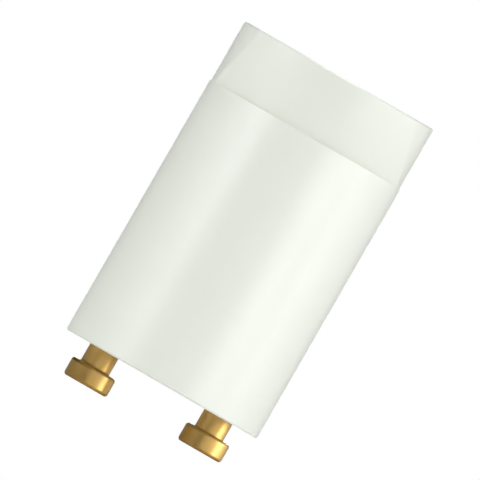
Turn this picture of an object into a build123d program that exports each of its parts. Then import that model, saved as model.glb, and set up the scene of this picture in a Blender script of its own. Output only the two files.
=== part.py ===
"""Fluorescent starter: a moulded can with a two-sided grip, a snap-in base with two brass
contact pins, and the glow switch and suppression capacitor that hang on those pins.

Millimetres. The origin lies midway between the pins, on the plane of their end faces. +Z runs
along the can towards the grip, and X runs through both pins. The finger recesses of the grip
face +Y and -Y.
"""

from math import sqrt
import os

from build123d import *

# Can
casing_length = 34.4
body_radius = 10.6
wall = 0.9
roof_thickness = 1.0
rim_chamfer = 0.15

# Grip on top of the can: a short bar with a barrel-shaped facet at the back of each recess
grip_height = 6.6
grip_step = 0.1
facet_depth = 1.71
facet_flare = 0.68
facet_crown = 0.08
facet_offset = 2.5
grip_wall = 1.0
grip_top_thickness = 1.2
grip_chamfer = 0.15

# Mouth of the can, which the base snaps into
mouth_wall = 0.65
base_recess = 0.4
base_thickness = 1.8
base_clearance = 0.04
bead_height = 0.2
bead_width = 0.3
base_chamfer = 0.25

# Contact pins and the bosses that they are riveted through
pin_spacing = 12.7
pin_reach = 3.83
head_radius = 2.38
head_thickness = 1.95
head_bevel = 0.2
head_back_bevel = 0.25
neck_radius = 1.56
tail_wall = 0.5
boss_wall = 0.9
boss_height = 1.2
pin_clearance = 0.02
rivet_overlap = 0.5
rivet_thickness = 0.45
pin_floor = 1.2

# Lead wires and the solder that holds them
wire_radius = 0.25
wire_sides = 8
wire_gap = 0.12
solder_film = 0.15
solder_rise = 0.4
solder_chamfer = 0.3
solder_floor = 0.5
seal_clearance = 0.01

# Glow bulb
bulb_radius = 4.2
glass_wall = 0.5
bulb_length = 17.5
pinch_width = 5.4
pinch_thickness = 2.2
pinch_height = 2.0
shoulder_height = 3.0
dome_height = 2.8
tip_radius = 0.8
tip_height = 1.4
bulb_side_gap = 0.7
lead_spread = 1.2
lead_reach = 3.0

# Electrodes in the bulb
strip_thickness = 0.2
strip_width = 2.0
strip_headroom = 1.4
contact_gap = 0.5
weld_length = 1.6
free_leg_length = 5.5
counter_length = 6.0

# Capacitor
roll_length = 10.4
roll_height = 8.0
roll_thickness = 4.0
roll_side_gap = 0.6
contact_thickness = 0.35
contact_inset = 0.25
weld_reach = 4.0

# Share of the free height that the leads take below the bulb and the capacitor
rise_share = 0.6
bend_share = 0.3

# Worked out from the sizes above
rim_z = pin_reach
top_z = rim_z + casing_length
shoulder_z = top_z - grip_height
roof_z = shoulder_z - roof_thickness
mid_grip_z = shoulder_z + grip_height / 2
grip_radius = body_radius - grip_step
facet_foot = body_radius - facet_depth + facet_offset
facet_top = facet_foot + facet_flare
facet_middle = (facet_foot + facet_top) / 2 + facet_crown
bore_radius = body_radius - wall
mouth_radius = body_radius - mouth_wall
base_z = rim_z + base_recess
seat_z = base_z + base_thickness
boss_top = seat_z + boss_height
rivet_top = boss_top + rivet_thickness
wire_offset = wire_radius + wire_gap / 2
tail_bore = wire_offset + wire_radius + solder_film
shank_radius = tail_bore + tail_wall
tail_floor = base_z + pin_floor
lead_foot = tail_floor + solder_floor
pin_x = pin_spacing / 2
free_height = roof_z - rivet_top - bulb_length
lead_rise = rise_share * free_height
bend_radius = bend_share * lead_rise
pinch_z = rivet_top + lead_rise
bulb_y = bore_radius - bulb_side_gap - bulb_radius
glass_inner = bulb_radius - glass_wall
roll_half = roll_length / 2 + contact_thickness
roll_y = roll_thickness / 2 - sqrt((bore_radius - roll_side_gap) ** 2 - roll_half**2)
roll_x = roll_half + wire_radius
pinch_top = pinch_z + pinch_height
tube_z = pinch_top + shoulder_height
tip_z = pinch_z + bulb_length - tip_height
dome_z = tip_z - dome_height
bulb_lead_top = pinch_top + lead_reach
weld_z = bulb_lead_top - weld_length
strip_length = dome_z - strip_headroom - weld_z
strip_x = -lead_spread - wire_radius - strip_thickness / 2
counter_x = lead_spread - wire_radius - strip_thickness / 2
free_x = counter_x - strip_thickness - contact_gap
roll_z = pinch_z + roll_height / 2
sides = (("left", -1), ("right", 1))

os.makedirs("parts", exist_ok=True)


def barrel_plane(side):
    """An upright plane through the axis of one facet, which lies beyond the can's own axis."""
    return Plane((0, side * facet_offset, 0), x_dir=(1, 0, 0), z_dir=(0, -1, 0))


def barrel_axis(side):
    return Axis((0, side * facet_offset, 0), (0, 0, 1))


def bent_wire(route, radius):
    """A wire along straight runs that are joined by bends, with its round section many-sided."""
    with BuildPart() as wire:
        with BuildLine():
            path = FilletPolyline(*route, radius=bend_radius)
        with BuildSketch(Plane(origin=path @ 0, z_dir=path % 0)):
            RegularPolygon(radius, wire_sides)
        sweep()
    return wire.part


def lead_route(side, y_ends, x_top, z_top):
    """Up out of a pin's tail, across below the component, and up to its joint."""
    y_foot, y_top = y_ends
    return (
        (side * pin_x, y_foot, lead_foot),
        (side * pin_x, y_foot, rivet_top + (1 - rise_share) * lead_rise),
        (side * x_top, y_top, rivet_top + rise_share * lead_rise),
        (side * x_top, y_top, z_top),
    )


def pin_plane(side):
    """The XZ plane with its origin moved to one pin's axis."""
    return Plane((side * pin_x, 0, 0), x_dir=(1, 0, 0), z_dir=(0, -1, 0))


def pin_axis(side):
    return Axis((side * pin_x, 0, 0), (0, 0, 1))


def bulb_plane(height):
    """A plane across the glow bulb, centred on the bulb's own axis."""
    return Plane((0, bulb_y, height))


def grip_border(edge):
    """True for the four slanted edges between a facet and the grip's round sides."""
    low = edge.bounding_box().min.Z
    high = edge.bounding_box().max.Z
    outer = abs(edge.center().X) > grip_radius / 2 and edge.geom_type != GeomType.LINE
    return outer and low > shoulder_z - grip_chamfer and high - low > grip_height / 2


# The grip: a round bar, cut on both sides by a facet that flares out towards the top
with BuildPart() as grip:
    with BuildSketch(Plane.XY.offset(shoulder_z)):
        Circle(grip_radius)
    extrude(amount=grip_height)
    for side in (1, -1):
        with BuildSketch(barrel_plane(side)):
            with BuildLine():
                foot = Line((0, shoulder_z), (facet_foot, shoulder_z))
                upright = ThreePointArc(foot @ 1, (facet_middle, mid_grip_z), (facet_top, top_z))
                Polyline(upright @ 1, (0, top_z), foot @ 0)
            make_face()
        revolve(axis=barrel_axis(side), mode=Mode.INTERSECT)

# The can: one moulding, open at the rim, with the cored grip on top
with BuildPart() as casing:
    with BuildSketch(Plane.XY.offset(rim_z)):
        Circle(body_radius)
    extrude(amount=shoulder_z - rim_z)
    add(grip.part)

    # Bore of the can, and the core that keeps the grip's walls thin
    with BuildSketch(Plane.XY.offset(rim_z)):
        Circle(bore_radius)
    extrude(amount=roof_z - rim_z, mode=Mode.SUBTRACT)
    with BuildSketch(Plane.XY.offset(roof_z)):
        Circle(grip_radius - grip_wall)
        for side in (1, -1):
            with Locations((0, side * facet_offset)):
                Circle(facet_foot - grip_wall, mode=Mode.INTERSECT)
    extrude(amount=top_z - grip_top_thickness - roof_z, mode=Mode.SUBTRACT)

    # Mouth: a seat for the base, and a bead below it that the base snaps past
    with BuildSketch(Plane.XY.offset(rim_z)):
        Circle(mouth_radius)
    extrude(amount=seat_z - rim_z, mode=Mode.SUBTRACT)
    with BuildSketch(Plane.XZ):
        with BuildLine():
            Polyline(
                (mouth_radius + mouth_wall / 2, base_z - bead_width),
                (mouth_radius, base_z - bead_width),
                (mouth_radius - bead_height, base_z - bead_width / 2),
                (mouth_radius, base_z),
                (mouth_radius + mouth_wall / 2, base_z),
                close=True,
            )
        make_face()
    revolve(axis=Axis.Z)

    # Edges of the moulding
    borders = [edge for edge in casing.edges() if grip_border(edge)]
    chamfer(casing.edges().group_by(Axis.Z)[-1] + borders, length=grip_chamfer)
    chamfer(casing.edges().group_by(Axis.Z)[0].sort_by(SortBy.RADIUS)[-1], length=rim_chamfer)
casing.part.label = "casing"
export_step(casing.part, "parts/casing.step")

# Base: an insulating disc with a boss round each pin
with BuildPart() as base_plate:
    with BuildSketch(Plane.XY.offset(base_z)):
        Circle(mouth_radius - base_clearance)
    extrude(amount=base_thickness)
    chamfer(base_plate.edges().sort_by(Axis.Z)[0], length=base_chamfer)
    with BuildSketch(Plane.XY.offset(seat_z)):
        with Locations((-pin_x, 0), (pin_x, 0)):
            Circle(shank_radius + boss_wall)
    extrude(amount=boss_height)
    with Locations((-pin_x, 0, boss_top), (pin_x, 0, boss_top)):
        Hole(shank_radius + pin_clearance)
base_plate.part.label = "base_plate"
export_step(base_plate.part, "parts/base_plate.step")

# Contact pins: turned brass with a mushroom head, riveted over the boss, hollow at the inner end
for name, side in sides:
    with BuildPart() as pin:
        with BuildSketch(pin_plane(side)):
            Polygon(
                (0, 0),
                (head_radius, 0),
                (head_radius, head_thickness),
                (neck_radius, head_thickness),
                (neck_radius, base_z),
                (shank_radius, base_z),
                (shank_radius, boss_top),
                (shank_radius + rivet_overlap, boss_top),
                (shank_radius + rivet_overlap, rivet_top),
                (tail_bore, rivet_top),
                (tail_bore, tail_floor),
                (0, tail_floor),
                align=None,
            )
        revolve(axis=pin_axis(side))
        rings = pin.edges().filter_by(GeomType.CIRCLE).group_by(Axis.Z)
        chamfer(rings[0], length=head_bevel)
        chamfer(rings[1].sort_by(SortBy.RADIUS)[-1], length=head_back_bevel)
    pin.part.label = f"contact_pin_{name}"
    export_step(pin.part, f"parts/{pin.part.label}.step")

# Lead wires: a pair to the bulb on +Y, and a pair to the capacitor on -Y
routes = {}
for name, side in sides:
    routes["bulb", name] = lead_route(side, (wire_offset, bulb_y), lead_spread, bulb_lead_top)
    routes["capacitor", name] = lead_route(side, (-wire_offset, roll_y), roll_x, pinch_z + weld_reach)
passages = {}
for (carried, name), route in routes.items():
    wire = bent_wire(route, wire_radius)
    wire.label = f"{carried}_lead_{name}"
    export_step(wire, f"parts/{wire.label}.step")
    passages[carried, name] = bent_wire(route, wire_radius + seal_clearance)

# Solder in the hollow tail of each pin, domed over the rivet, round both wires
for name, side in sides:
    with BuildPart() as solder:
        with BuildSketch(pin_plane(side)):
            Polygon(
                (0, tail_floor),
                (tail_bore - seal_clearance, tail_floor),
                (tail_bore - seal_clearance, rivet_top),
                (shank_radius, rivet_top),
                (shank_radius, rivet_top + solder_rise),
                (0, rivet_top + solder_rise),
                align=None,
            )
        revolve(axis=pin_axis(side))
        chamfer(solder.edges().filter_by(GeomType.CIRCLE).sort_by(Axis.Z)[-1], length=solder_chamfer)
        add(passages["bulb", name], mode=Mode.SUBTRACT)
        add(passages["capacitor", name], mode=Mode.SUBTRACT)
    solder.part.label = f"solder_{name}"
    export_step(solder.part, f"parts/{solder.part.label}.step")

# Glow bulb: a blown tube with a tapered, tipped-off top and a pinched foot round its two wires
with BuildPart() as bulb_hollow:
    with BuildSketch(bulb_plane(pinch_top + glass_wall)):
        Circle(pinch_width / 2 - glass_wall)
    with BuildSketch(bulb_plane(tube_z)):
        Circle(glass_inner)
    loft()
    with BuildSketch(bulb_plane(tube_z)):
        Circle(glass_inner)
    extrude(amount=dome_z - tube_z)
    with BuildSketch(bulb_plane(dome_z)):
        Circle(glass_inner)
    with BuildSketch(bulb_plane(tip_z - glass_wall)):
        Circle(tip_radius)
    loft()
with BuildPart() as glow_bulb_glass:
    with BuildSketch(bulb_plane(pinch_z)):
        Rectangle(pinch_width, pinch_thickness)
    extrude(amount=pinch_height)
    with BuildSketch(bulb_plane(pinch_top)):
        Circle(pinch_width / 2)
    with BuildSketch(bulb_plane(tube_z)):
        Circle(bulb_radius)
    loft()
    with BuildSketch(bulb_plane(tube_z)):
        Circle(bulb_radius)
    extrude(amount=dome_z - tube_z)
    with BuildSketch(bulb_plane(dome_z)):
        Circle(bulb_radius)
    with BuildSketch(bulb_plane(tip_z)):
        Circle(tip_radius)
    loft()
    with BuildSketch(bulb_plane(tip_z)):
        Circle(tip_radius)
    extrude(amount=tip_height)
    chamfer(glow_bulb_glass.edges().sort_by(Axis.Z)[-1], length=tip_radius / 2)
    add(bulb_hollow.part, mode=Mode.SUBTRACT)
    for name, side in sides:
        add(passages["bulb", name], mode=Mode.SUBTRACT)
glow_bulb_glass.part.label = "glow_bulb_glass"
export_step(glow_bulb_glass.part, "parts/glow_bulb_glass.step")

# Bimetal strip: a narrow U whose long leg is welded to the left wire
with BuildPart() as bimetal_strip:
    with BuildLine(Plane.XZ.offset(-bulb_y)) as strip_path:
        welded_leg = Line((strip_x, weld_z), (strip_x, weld_z + strip_length))
        bend = JernArc(welded_leg @ 1, welded_leg % 1, (free_x - strip_x) / 2, -180)
        Line(bend @ 1, (free_x, weld_z + strip_length - free_leg_length))
    with BuildSketch(bulb_plane(weld_z)):
        with Locations((strip_x, 0)):
            Rectangle(strip_thickness, strip_width)
    sweep()
bimetal_strip.part.label = "bimetal_strip"
export_step(bimetal_strip.part, "parts/bimetal_strip.step")

# Counter electrode: a short strip welded to the right wire, facing the free leg of the U
with BuildPart() as counter_electrode:
    with BuildSketch(bulb_plane(weld_z)):
        with Locations((counter_x, 0)):
            Rectangle(strip_thickness, strip_width)
    extrude(amount=counter_length)
counter_electrode.part.label = "counter_electrode"
export_step(counter_electrode.part, "parts/counter_electrode.step")

# Capacitor: a flattened roll of film with a sprayed metal contact on each end
with BuildPart() as capacitor_roll:
    with BuildSketch(Plane.YZ.offset(-roll_length / 2)):
        with Locations((roll_y, roll_z)):
            SlotOverall(roll_height, roll_thickness, rotation=90)
    extrude(amount=roll_length)
    chamfer(capacitor_roll.faces().group_by(Axis.X)[0].edges(), length=contact_inset / 2)
    chamfer(capacitor_roll.faces().group_by(Axis.X)[-1].edges(), length=contact_inset / 2)
capacitor_roll.part.label = "capacitor_roll"
export_step(capacitor_roll.part, "parts/capacitor_roll.step")
for name, side in sides:
    with BuildPart() as contact:
        with BuildSketch(Plane.YZ.offset(side * roll_length / 2)):
            with Locations((roll_y, roll_z)):
                SlotOverall(roll_height - 2 * contact_inset, roll_thickness - 2 * contact_inset, rotation=90)
        extrude(amount=side * contact_thickness)
    contact.part.label = f"capacitor_contact_{name}"
    export_step(contact.part, f"parts/{contact.part.label}.step")
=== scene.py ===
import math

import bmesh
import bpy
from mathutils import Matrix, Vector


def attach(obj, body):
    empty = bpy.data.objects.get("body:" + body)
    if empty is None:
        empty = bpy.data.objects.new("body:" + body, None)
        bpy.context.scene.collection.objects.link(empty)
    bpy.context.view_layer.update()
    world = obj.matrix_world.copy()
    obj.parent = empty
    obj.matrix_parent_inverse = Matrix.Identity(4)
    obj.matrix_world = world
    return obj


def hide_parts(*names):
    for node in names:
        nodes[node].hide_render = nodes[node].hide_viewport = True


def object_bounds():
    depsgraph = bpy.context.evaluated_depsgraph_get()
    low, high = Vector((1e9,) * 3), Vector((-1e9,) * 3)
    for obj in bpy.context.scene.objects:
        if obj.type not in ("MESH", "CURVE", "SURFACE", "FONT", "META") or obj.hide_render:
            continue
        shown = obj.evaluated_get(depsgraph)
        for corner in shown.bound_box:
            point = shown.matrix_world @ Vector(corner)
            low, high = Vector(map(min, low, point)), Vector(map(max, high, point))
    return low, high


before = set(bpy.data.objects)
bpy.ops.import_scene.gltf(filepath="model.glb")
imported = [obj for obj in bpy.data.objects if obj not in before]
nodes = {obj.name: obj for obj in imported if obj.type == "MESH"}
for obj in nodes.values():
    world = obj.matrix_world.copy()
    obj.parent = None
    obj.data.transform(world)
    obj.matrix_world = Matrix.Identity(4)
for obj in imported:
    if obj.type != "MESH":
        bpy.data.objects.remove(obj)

# %% [markdown]
# # A fluorescent starter
# A starter is a small plastic can that twists into a socket beside a fluorescent tube. It ends in
# two brass pins with mushroom heads, and its other end is a grip for two fingertips. The part
# file already holds every solid in its place. This lesson sets up the camera, gives each solid
# its finish, models again the pieces that the real machines left rounder, and lights them.

MM = 0.001
cad_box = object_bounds()
print(len(nodes), "solids, from", cad_box[0], "to", cad_box[1])

# %% [markdown]
# ## The camera
# The starter is seen exactly from the side, with no perspective, and it leans 30 degrees to the
# right. In the part file it stands upright on its pins. It could be tilted, but a solid that
# moves no longer agrees with the part file, so the camera rolls instead. Its right-hand
# direction becomes a mix of the part's X and Z, and its view stays level along Y. Two small
# shifts put the can where the picture has it.

# %% A rolled camera without perspective
PIXELS_PER_MM = 10.36
PICTURE_SIDE = 480
ROLL = math.radians(29.97)
CAMERA_SIDE = -0.05 * MM
CAMERA_RISE = 0.65 * MM
CAMERA_DISTANCE = 0.4
FARTHEST_SEEN = 5

right = Vector((math.cos(ROLL), 0, math.sin(ROLL)))
up = Vector((-math.sin(ROLL), 0, math.cos(ROLL)))
back = right.cross(up)
middle = Vector((0, 0, (cad_box[0][2] + cad_box[1][2]) / 2))

camera = bpy.data.objects.new("camera", bpy.data.cameras.new("camera"))
bpy.context.scene.collection.objects.link(camera)
turn = Matrix((right, up, back)).transposed().to_4x4()
place = middle + right * CAMERA_SIDE + up * CAMERA_RISE + back * CAMERA_DISTANCE
camera.matrix_world = Matrix.Translation(place) @ turn
camera.data.type = "ORTHO"
camera.data.ortho_scale = PICTURE_SIDE / PIXELS_PER_MM * MM
camera.data.clip_end = FARTHEST_SEEN
bpy.context.scene.camera = camera
print("the picture is %.1f mm wide" % (camera.data.ortho_scale / MM))

# %% [markdown]
# ## Colours, sizes and nodes
# A colour is easiest to write as it looks on a screen, in hex, while Blender's sockets take
# linear light, so one function turns the one into the other. A texture's scale says how many
# features fit in a metre, so another turns a real size into it. The third adds a node to a
# material, with its own settings and with values or links for its sockets.

# %% Three helpers
def linear(code):
    """A screen colour such as 'd8a03c' as linear red, green, blue and alpha."""
    parts = [int(code[i:i + 2], 16) / 255 for i in (0, 2, 4)]
    return [c / 12.92 if c <= 0.04045 else ((c + 0.055) / 1.055) ** 2.4 for c in parts] + [1]


def every(size_mm):
    """The texture scale whose features are this many millimetres across."""
    return 1 / (size_mm * MM)


def add(tree, kind, sockets=None, **settings):
    node = tree.nodes.new("ShaderNode" + kind)
    for name, value in settings.items():
        setattr(node, name, value)
    for name, value in (sockets or {}).items():
        if isinstance(value, bpy.types.NodeSocket):
            tree.links.new(value, node.inputs[name])
        else:
            node.inputs[name].default_value = value
    return node


print("a 0.1 mm grain has the scale", round(every(0.1)))

# %% [markdown]
# ## Starting a finish
# Every finish begins in the same way: a Principled shader with the material's usual roughness,
# metalness and index of refraction, and a texture coordinate in the part's own metres. What
# varies over the surface comes after that, in nodes that belong to that one material.

# %% A new finish, and how solids get it
def start(name, roughness, metallic=0.0, **sockets):
    material = bpy.data.materials.new(name)
    material.use_nodes = True
    tree = material.node_tree
    shader = tree.nodes["Principled BSDF"]
    shader.inputs["Roughness"].default_value = roughness
    shader.inputs["Metallic"].default_value = metallic
    for socket, value in sockets.items():
        shader.inputs[socket.replace("_", " ")].default_value = value
    where = add(tree, "TexCoord").outputs["Object"]
    return material, tree, shader, where


def dress(material, *names):
    for name in names:
        for slot in nodes[name].material_slots:
            slot.material = material
    print(material.name, "on", ", ".join(names))


# %% [markdown]
# ## White polycarbonate
# The can is injection moulded from white polycarbonate, which is tough, does not burn easily,
# and takes its surface from the mould: polished with fine stone, so it shines softly. A plain
# white would look like paper. Three things make it plastic: light goes a little way into it,
# its gloss changes gently where the melt flowed, and a fine grain is left by the mould. The real
# grain is about 0.05 mm, half a pixel of the picture, so it is drawn 0.25 mm coarse.

# %% Moulded polycarbonate
material, tree, shader, where = start(
    "moulded_polycarbonate", 0.36, IOR=1.585,
    Subsurface_Weight=0.12, Subsurface_Radius=(1.0, 1.0, 0.85), Subsurface_Scale=0.5 * MM,
)
flow = add(tree, "TexNoise", {"Vector": where, "Scale": every(7), "Detail": 2.0})
white, flow_white = linear("eef1e9"), linear("ebefe5")
tone = add(tree, "MixRGB", {"Fac": flow.outputs["Fac"], "Color1": white, "Color2": flow_white})
tree.links.new(tone.outputs["Color"], shader.inputs["Base Color"])
gloss = add(tree, "MapRange", {"Value": flow.outputs["Fac"], "To Min": 0.33, "To Max": 0.39})
tree.links.new(gloss.outputs["Result"], shader.inputs["Roughness"])
grain = add(tree, "TexNoise", {"Vector": where, "Scale": every(0.25), "Detail": 3.0})
bump = add(tree, "Bump", {"Height": grain.outputs["Fac"],
                          "Distance": 0.0015 * MM, "Strength": 0.6})
tree.links.new(bump.outputs["Normal"], shader.inputs["Normal"])
dress(material, "casing")

# %% [markdown]
# ## The base
# The disc that closes the can is moulded from a polyester filled with short glass fibres, so it
# stays stiff while the pins are riveted through it. The fibres leave a dull surface with faint
# paler flecks, which stretched cells of a Voronoi texture show well. A real fibre is only
# 0.01 mm thick, so the flecks stand for bundles, 0.12 mm wide.

# %% Glass-filled polyester
material, tree, shader, where = start("moulded_glass_filled_polyester", 0.55, IOR=1.57)
along = add(tree, "Mapping", {"Vector": where, "Rotation": (0, 0, 0.5), "Scale": (1, 0.2, 1)})
fibres = add(tree, "TexVoronoi", {"Vector": along.outputs["Vector"], "Scale": every(0.12)})
fleck = add(tree, "MapRange", {"Value": fibres.outputs["Distance"], "From Max": 0.35,
                               "To Min": 1.0, "To Max": 0.0})
resin, fibre = linear("cfcdc2"), linear("dddbd1")
tone = add(tree, "MixRGB", {"Fac": fleck.outputs["Result"], "Color1": resin, "Color2": fibre})
tree.links.new(tone.outputs["Color"], shader.inputs["Base Color"])
bump = add(tree, "Bump", {"Height": fleck.outputs["Result"],
                          "Distance": 0.004 * MM, "Strength": 0.5})
tree.links.new(bump.outputs["Normal"], shader.inputs["Normal"])
dress(material, "base_plate")

# %% [markdown]
# ## The contact pins
# Each pin is turned from brass rod on a lathe. Its head has corners of 0.3 mm radius, so that it
# slides into the socket's slot, and these round corners catch the light all round the head. In
# Blender a turned piece is a spun outline: the corners are points of the outline, the spin makes
# the rings, and a bevel with four segments rounds just the rings that the tool rounded. The
# corners of the head and the neck have one more point on each side, a little further off than
# the rounding reaches, so that smooth shading bends only at the corner and leaves the rest flat.

# %% The outline of a pin, read inwards from its end face
PIN_SPACING = 12.7
HEAD_RADIUS, HEAD_THICKNESS = 2.38, 1.95
NECK_RADIUS, SHANK_RADIUS, SHOULDER = 1.56, 1.02, 4.23
RIVET_RADIUS, RIVET_FOOT, RIVET_TOP = 1.52, 7.23, 7.68
BORE_RADIUS, BORE_FLOOR = 0.52, 5.43
HEAD_CORNER, NECK_CORNER, RIVET_CORNER = 0.3, 0.12, 0.15
BESIDE_HEAD_CORNER, BESIDE_NECK_CORNER = 0.36, 0.18

pin_outline = [
    (HEAD_RADIUS - BESIDE_HEAD_CORNER, 0),
    (HEAD_RADIUS, 0),
    (HEAD_RADIUS, BESIDE_HEAD_CORNER),
    (HEAD_RADIUS, HEAD_THICKNESS - BESIDE_HEAD_CORNER),
    (HEAD_RADIUS, HEAD_THICKNESS),
    (HEAD_RADIUS - BESIDE_HEAD_CORNER, HEAD_THICKNESS),
    (NECK_RADIUS + BESIDE_NECK_CORNER, HEAD_THICKNESS),
    (NECK_RADIUS, HEAD_THICKNESS),
    (NECK_RADIUS, HEAD_THICKNESS + BESIDE_NECK_CORNER),
    (NECK_RADIUS, SHOULDER),
    (SHANK_RADIUS, SHOULDER),
    (SHANK_RADIUS, RIVET_FOOT),
    (RIVET_RADIUS, RIVET_FOOT),
    (RIVET_RADIUS, RIVET_TOP),
    (BORE_RADIUS, RIVET_TOP),
    (BORE_RADIUS, BORE_FLOOR),
]
rounded = {
    (HEAD_RADIUS, 0): HEAD_CORNER,
    (HEAD_RADIUS, HEAD_THICKNESS): HEAD_CORNER,
    (NECK_RADIUS, HEAD_THICKNESS): NECK_CORNER,
    (RIVET_RADIUS, RIVET_TOP): RIVET_CORNER,
}
print("a pin is", RIVET_TOP, "mm long, and its head is", 2 * HEAD_RADIUS, "mm across")

# %% Spinning an outline
SPIN_STEPS = 96
CORNER_SEGMENTS = 4
SHARP_ANGLE = math.radians(35)
SAME_PLACE = 0.001 * MM
DOUBLES_WITHIN = 0.0001 * MM


def rings_at(bm, centre, radius, height):
    """The edges of one spun ring."""
    def on_ring(vertex):
        flat = Vector((vertex.co.x - centre.x, vertex.co.y - centre.y))
        return abs(flat.length - radius) < SAME_PLACE and abs(vertex.co.z - height) < SAME_PLACE
    return [edge for edge in bm.edges if all(on_ring(v) for v in edge.verts)]


def spun(name, outline, centre, corners):
    """Spins an outline of (radius, height) in millimetres round an upright axis."""
    bm = bmesh.new()
    points = [bm.verts.new((centre.x, centre.y, outline[0][1] * MM))]
    points += [bm.verts.new((centre.x + r * MM, centre.y, z * MM)) for r, z in outline]
    points.append(bm.verts.new((centre.x, centre.y, outline[-1][1] * MM)))
    edges = [bm.edges.new(pair) for pair in zip(points, points[1:])]
    bmesh.ops.spin(bm, geom=points + edges, cent=centre, axis=(0, 0, 1), angle=math.tau,
                   steps=SPIN_STEPS, use_merge=True, use_duplicate=False)
    bmesh.ops.remove_doubles(bm, verts=bm.verts, dist=DOUBLES_WITHIN)
    bmesh.ops.recalc_face_normals(bm, faces=bm.faces)
    for (r, z), size in corners.items():
        ring = rings_at(bm, centre, r * MM, z * MM)
        bmesh.ops.bevel(bm, geom=ring, offset=size * MM, offset_type="OFFSET", affect="EDGES",
                        segments=CORNER_SEGMENTS, profile=0.5, material=-1)
    mesh = bpy.data.meshes.new(name)
    bm.to_mesh(mesh)
    bm.free()
    for polygon in mesh.polygons:
        polygon.use_smooth = True
    mesh.set_sharp_from_angle(angle=SHARP_ANGLE)
    piece = bpy.data.objects.new(name, mesh)
    bpy.context.scene.collection.objects.link(piece)
    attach(piece, "root")
    print(name, "has", len(mesh.polygons), "faces")
    return piece


# %% [markdown]
# ## Turned brass
# Brass keeps the lathe's marks: fine rings round the sides and round the end face. One number
# describes both, the distance from the pin's axis plus the height, because on the side only the
# height changes and on the end face only the distance. A noise of that number gives the rings,
# 0.12 mm apart, which is coarser than the 0.05 mm that the tool moves in a turn, so that they
# show. The rings also draw the shine out along the pin, across themselves, so the finish gets
# an Anisotropic value and a tangent round the axis, turned by a quarter. A slow noise darkens the
# brass a little, as handling does.

# %% Turned brass, with its rings centred on one pin
def turned_brass(name, centre):
    material, tree, shader, where = start(name, 0.4, metallic=1.0)
    centred = add(tree, "Mapping", {"Vector": where, "Location": (-centre.x, 0, 0)})
    parts = add(tree, "SeparateXYZ", {"Vector": centred.outputs["Vector"]})
    flat = add(tree, "CombineXYZ", {"X": parts.outputs["X"], "Y": parts.outputs["Y"]})
    radius = add(tree, "VectorMath", {0: flat.outputs["Vector"]}, operation="LENGTH")
    track = add(tree, "Math", {0: radius.outputs["Value"], 1: parts.outputs["Z"]}, operation="ADD")
    rings = add(tree, "TexNoise", {"W": track.outputs["Value"], "Scale": every(0.12),
                                   "Detail": 3.0}, noise_dimensions="1D")
    handled = add(tree, "TexNoise", {"Vector": where, "Scale": every(1.6), "Detail": 4.0})
    bright, dulled = linear("edc980"), linear("d9ad5e")
    tone = add(tree, "MixRGB", {"Fac": handled.outputs["Fac"], "Color1": bright, "Color2": dulled})
    tree.links.new(tone.outputs["Color"], shader.inputs["Base Color"])
    gloss = add(tree, "MapRange", {"Value": rings.outputs["Fac"], "To Min": 0.36, "To Max": 0.44})
    tree.links.new(gloss.outputs["Result"], shader.inputs["Roughness"])
    bump = add(tree, "Bump", {"Height": rings.outputs["Fac"],
                              "Distance": 0.001 * MM, "Strength": 0.4})
    tree.links.new(bump.outputs["Normal"], shader.inputs["Normal"])
    around = add(tree, "VectorMath", {0: flat.outputs["Vector"], 1: (0, 0, 1)},
                 operation="CROSS_PRODUCT")
    tree.links.new(around.outputs["Vector"], shader.inputs["Tangent"])
    shader.inputs["Anisotropic"].default_value = 0.35
    shader.inputs["Anisotropic Rotation"].default_value = 0.25
    return material


# %% Both pins
pins = bpy.data.collections.new("pins")
for side, name in ((-1, "left"), (1, "right")):
    centre = Vector((side * PIN_SPACING / 2 * MM, 0, 0))
    pin = spun("turned_pin_" + name, pin_outline, centre, rounded)
    pin.data.materials.append(turned_brass("turned_brass_" + name, centre))
    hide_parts("contact_pin_" + name)
    pins.objects.link(pin)

# %% [markdown]
# ## Solder, wire and strips
# Inside the can, two wires rise from each pin. The pins' tails are filled with tin solder, which
# freezes with a slightly wavy skin. The wires are copper, drawn through a die and tinned, so
# their marks run along them. The two contact strips in the glow bulb are rolled: one is a
# bimetal that bends when it is warm, and the other is nickel-plated. The marks of the die and
# the rolls are really a few hundredths of a millimetre wide, and are drawn at 0.1 mm to show.

# %% Four plain metals
EVEN = (1, 1, 1)
DRAWN = (1, 1, 0.1)
ROLLED = (1, 1, 0.08)


def worn_metal(name, light, dark, rough, grain_mm, stretch, depth_mm):
    """Marks shift the colour, gloss and height, and a stretch below 1 lengthens them."""
    material, tree, shader, where = start(name, rough, metallic=1.0)
    along = add(tree, "Mapping", {"Vector": where, "Scale": stretch})
    marks = add(tree, "TexNoise", {"Vector": along.outputs["Vector"],
                                   "Scale": every(grain_mm), "Detail": 3.0})
    tone = add(tree, "MixRGB", {"Fac": marks.outputs["Fac"],
                                "Color1": linear(dark), "Color2": linear(light)})
    tree.links.new(tone.outputs["Color"], shader.inputs["Base Color"])
    gloss = add(tree, "MapRange", {"Value": marks.outputs["Fac"],
                                   "To Min": rough * 0.8, "To Max": rough * 1.3})
    tree.links.new(gloss.outputs["Result"], shader.inputs["Roughness"])
    bump = add(tree, "Bump", {"Height": marks.outputs["Fac"],
                              "Distance": depth_mm * MM, "Strength": 0.6})
    tree.links.new(bump.outputs["Normal"], shader.inputs["Normal"])
    return material


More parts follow.
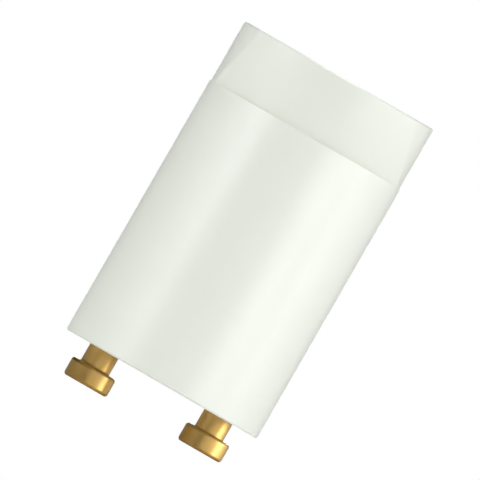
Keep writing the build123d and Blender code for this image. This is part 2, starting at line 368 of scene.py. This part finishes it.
dress(worn_metal("frozen_tin_solder", "d6d8d9", "b2b5b8", 0.3, 0.5, EVEN, 0.02),
      "solder_left", "solder_right")
dress(worn_metal("drawn_tinned_copper", "cfcbc2", "aaa59a", 0.28, 0.1, DRAWN, 0.003),
      "bulb_lead_left", "bulb_lead_right", "capacitor_lead_left", "capacitor_lead_right")
dress(worn_metal("rolled_bimetal", "a9a39b", "8b857d", 0.35, 0.1, ROLLED, 0.002),
      "bimetal_strip")
dress(worn_metal("rolled_nickel_plated_steel", "c4beb2", "a39d92", 0.3, 0.1, ROLLED, 0.002),
      "counter_electrode")

# %% [markdown]
# ## The glow bulb
# The bulb is blown from a glass tube, pinched shut round its wires at the foot and melted shut
# at the top, where a short tip is left. Clear glass needs full transmission, almost no roughness
# and an index of refraction of 1.52. Where the flame worked, its wall is faintly uneven.

# %% Blown glass
material, tree, shader, where = start(
    "blown_soda_lime_glass", 0.03, IOR=1.52,
    Transmission_Weight=1.0, Base_Color=linear("f2f8f5"),
)
uneven = add(tree, "TexNoise", {"Vector": where, "Scale": every(2.5), "Detail": 1.0})
bump = add(tree, "Bump", {"Height": uneven.outputs["Fac"], "Distance": 0.03 * MM, "Strength": 0.3})
tree.links.new(bump.outputs["Normal"], shader.inputs["Normal"])
dress(material, "glow_bulb_glass")

# %% [markdown]
# ## The capacitor
# The capacitor is a long film wound flat, with a clear amber wrap that shows the winding as
# fine lines along its width. One turn is 0.006 mm thick, so each line, 0.3 mm wide, stands for a
# group of turns. The two ends are sprayed with molten zinc, drop by drop, to join all the turns,
# so they are grey and grainy.

# %% Wound film and sprayed zinc
material, tree, shader, where = start("wound_amber_film", 0.22, IOR=1.49)
across = add(tree, "Mapping", {"Vector": where, "Scale": (0.02, 1, 1)})
turns = add(tree, "TexNoise", {"Vector": across.outputs["Vector"],
                               "Scale": every(0.3), "Detail": 2.0})
amber, pale_amber = linear("b98f3a"), linear("d9b865")
tone = add(tree, "MixRGB", {"Fac": turns.outputs["Fac"], "Color1": amber, "Color2": pale_amber})
tree.links.new(tone.outputs["Color"], shader.inputs["Base Color"])
bump = add(tree, "Bump", {"Height": turns.outputs["Fac"], "Distance": 0.01 * MM, "Strength": 0.5})
tree.links.new(bump.outputs["Normal"], shader.inputs["Normal"])
dress(material, "capacitor_roll")
dress(worn_metal("sprayed_zinc", "9fa1a2", "77797b", 0.6, 0.15, EVEN, 0.03),
      "capacitor_contact_left", "capacitor_contact_right")

# %% [markdown]
# ## The floor and the room
# The starter stands on a pale floor, which keeps its shadow. In the main view the floor is seen
# edge-on, so the picture's white comes from the world, which is plain white to the camera and to
# rays that pass through glass. Rays that a surface mirrors find that white behind the starter,
# and also on a wide soft card at its right. The rest of the room is dim for them. A round pin
# squeezes the whole room into its narrow width, so this makes the brass brown on its left and
# bright on its right, and it draws a grey edge round the white can. An all-white room would do
# neither. Rays that only gather light for a dull surface get the same dim, even grey.

# %% A pale floor
FLOOR_RADIUS = 1.0
FLOOR_DROP = 0.05 * MM
FLOOR_SIDES = 64

bm = bmesh.new()
bmesh.ops.create_circle(bm, cap_ends=True, radius=FLOOR_RADIUS, segments=FLOOR_SIDES)
bmesh.ops.translate(bm, verts=bm.verts, vec=(0, 0, -FLOOR_DROP))
mesh = bpy.data.meshes.new("floor")
bm.to_mesh(mesh)
bm.free()
floor = bpy.data.objects.new("floor", mesh)
bpy.context.scene.collection.objects.link(floor)
material, tree, shader, where = start("matt_painted_board", 0.7, IOR=1.5)
roller = add(tree, "TexNoise", {"Vector": where, "Scale": every(3), "Detail": 3.0})
paint, thin_paint = linear("f6f6f4"), linear("f2f2f0")
tone = add(tree, "MixRGB", {"Fac": roller.outputs["Fac"], "Color1": paint, "Color2": thin_paint})
tree.links.new(tone.outputs["Color"], shader.inputs["Base Color"])
floor.data.materials.append(material)
print("the floor lies %.2f mm below the pins" % (FLOOR_DROP / MM))

# %% The world
AMBIENT = 0.03
BEHIND, BEHIND_EDGES = (0, 1, 0), (0.97, 0.995)
RIGHT_SIDE, RIGHT_SIDE_EDGES = (0.927, -0.375, 0), (0.105, 0.407)

world = bpy.data.worlds.new("studio")
bpy.context.scene.world = world
world.use_nodes = True
tree = world.node_tree
rays = add(tree, "LightPath")
look = add(tree, "TexCoord").outputs["Generated"]


def card(direction, edge, full):
    """1 towards a soft-edged white card and 0 away from it. Both edges are cosines."""
    aim = add(tree, "VectorMath", {0: look, 1: direction}, operation="DOT_PRODUCT")
    return add(tree, "MapRange", {"Value": aim.outputs["Value"],
                                  "From Min": edge, "From Max": full})


behind = card(BEHIND, *BEHIND_EDGES)
right_side = card(RIGHT_SIDE, *RIGHT_SIDE_EDGES)
cards = add(tree, "Math", {0: behind.outputs["Result"], 1: right_side.outputs["Result"]},
            operation="MAXIMUM")
mirrored = add(tree, "Math", {0: rays.outputs["Is Glossy Ray"], 1: cards.outputs["Value"]},
               operation="MULTIPLY")
direct = add(tree, "Math", {0: rays.outputs["Is Camera Ray"],
                            1: rays.outputs["Is Transmission Ray"]}, operation="MAXIMUM")
seen = add(tree, "Math", {0: direct.outputs["Value"], 1: mirrored.outputs["Value"]},
           operation="MAXIMUM")
level = add(tree, "MapRange", {"Value": seen.outputs["Value"], "To Min": AMBIENT, "To Max": 1.0})
tree.links.new(level.outputs["Result"], tree.nodes["Background"].inputs["Strength"])
tree.nodes["Background"].inputs["Color"].default_value = linear("ffffff")
print("a white room with", round(100 * AMBIENT), "percent of its light on the surfaces")

# %% [markdown]
# ## The lamps
# A round white can shows where its lamps are: it is brightest halfway between a lamp and the
# camera, and a darker band runs down its middle when no lamp stands in front. So a bank of low
# strip lights curves round each side, like two softboxes bent to an arc, and the right-hand
# bank is the stronger. A soft panel overhead lights the top, and a weak strip the back.
#
# The left-hand bank would also draw a second bright line on the brass, and the two front strips
# on the right would bleach the first. A photographer hides such lines with small black cards
# close to the metal. Here the left-hand bank hangs a little higher, and Blender's light linking
# keeps it, and those two strips, off the pins.

# %% Two banks of strip lights, and a panel overhead
LAMP_DISTANCE = 0.5
STRIP_WIDTH = 0.12
LOW = (1, 17)
RAISED = (7, 21)
BACK_POWER = 0.5
OVERHEAD_SIDE, OVERHEAD_POWER, OVERHEAD_HEIGHT = 0.3, 1.6, 0.6


def panel(name, wide, high, power):
    light = bpy.data.lights.new(name, "AREA")
    light.shape = "RECTANGLE"
    light.size = wide
    light.size_y = high
    light.energy = power
    stand = bpy.data.objects.new(name, light)
    bpy.context.scene.collection.objects.link(stand)
    return stand


def strip(azimuth, power, lowest, highest):
    """An upright strip between two elevations. Azimuth 0 is in front, and 90 on the right."""
    a = math.radians(azimuth)
    out = Vector((math.sin(a), -math.cos(a), 0))
    upward = Vector((0, 0, 1))
    bottom = LAMP_DISTANCE * math.tan(math.radians(lowest))
    top = LAMP_DISTANCE * math.tan(math.radians(highest))
    facing = Matrix((upward.cross(out), upward, out)).transposed().to_4x4()
    spot = out * LAMP_DISTANCE + upward * (bottom + top) / 2
    stand = panel("strip_%d" % azimuth, STRIP_WIDTH, top - bottom, power)
    stand.matrix_world = Matrix.Translation(spot) @ facing
    return stand


# Each bank lists its strips' azimuths in degrees, with their power in watts
left_bank = {-50: 0.76, -65: 0.32, -80: 0.32}
right_bank = {35: 0.28, 50: 0.52, 65: 0.22, 80: 0.45, 100: 0.16}
kept_off_pins = (*left_bank, 35, 50)
stands = {azimuth: strip(azimuth, power, *RAISED) for azimuth, power in left_bank.items()}
stands.update({azimuth: strip(azimuth, power, *LOW) for azimuth, power in right_bank.items()})
for azimuth in kept_off_pins:
    stands[azimuth].light_linking.receiver_collection = pins
for item in pins.collection_objects:
    item.light_linking.link_state = "EXCLUDE"
strip(180, BACK_POWER, *LOW)
overhead = panel("overhead", OVERHEAD_SIDE, OVERHEAD_SIDE, OVERHEAD_POWER)
overhead.location = (0, 0, OVERHEAD_HEIGHT)
print("the banks give %.2f W and %.2f W" % (sum(left_bank.values()), sum(right_bank.values())))

# %% The view transform, and the end
bpy.context.scene.view_settings.view_transform = "Standard"
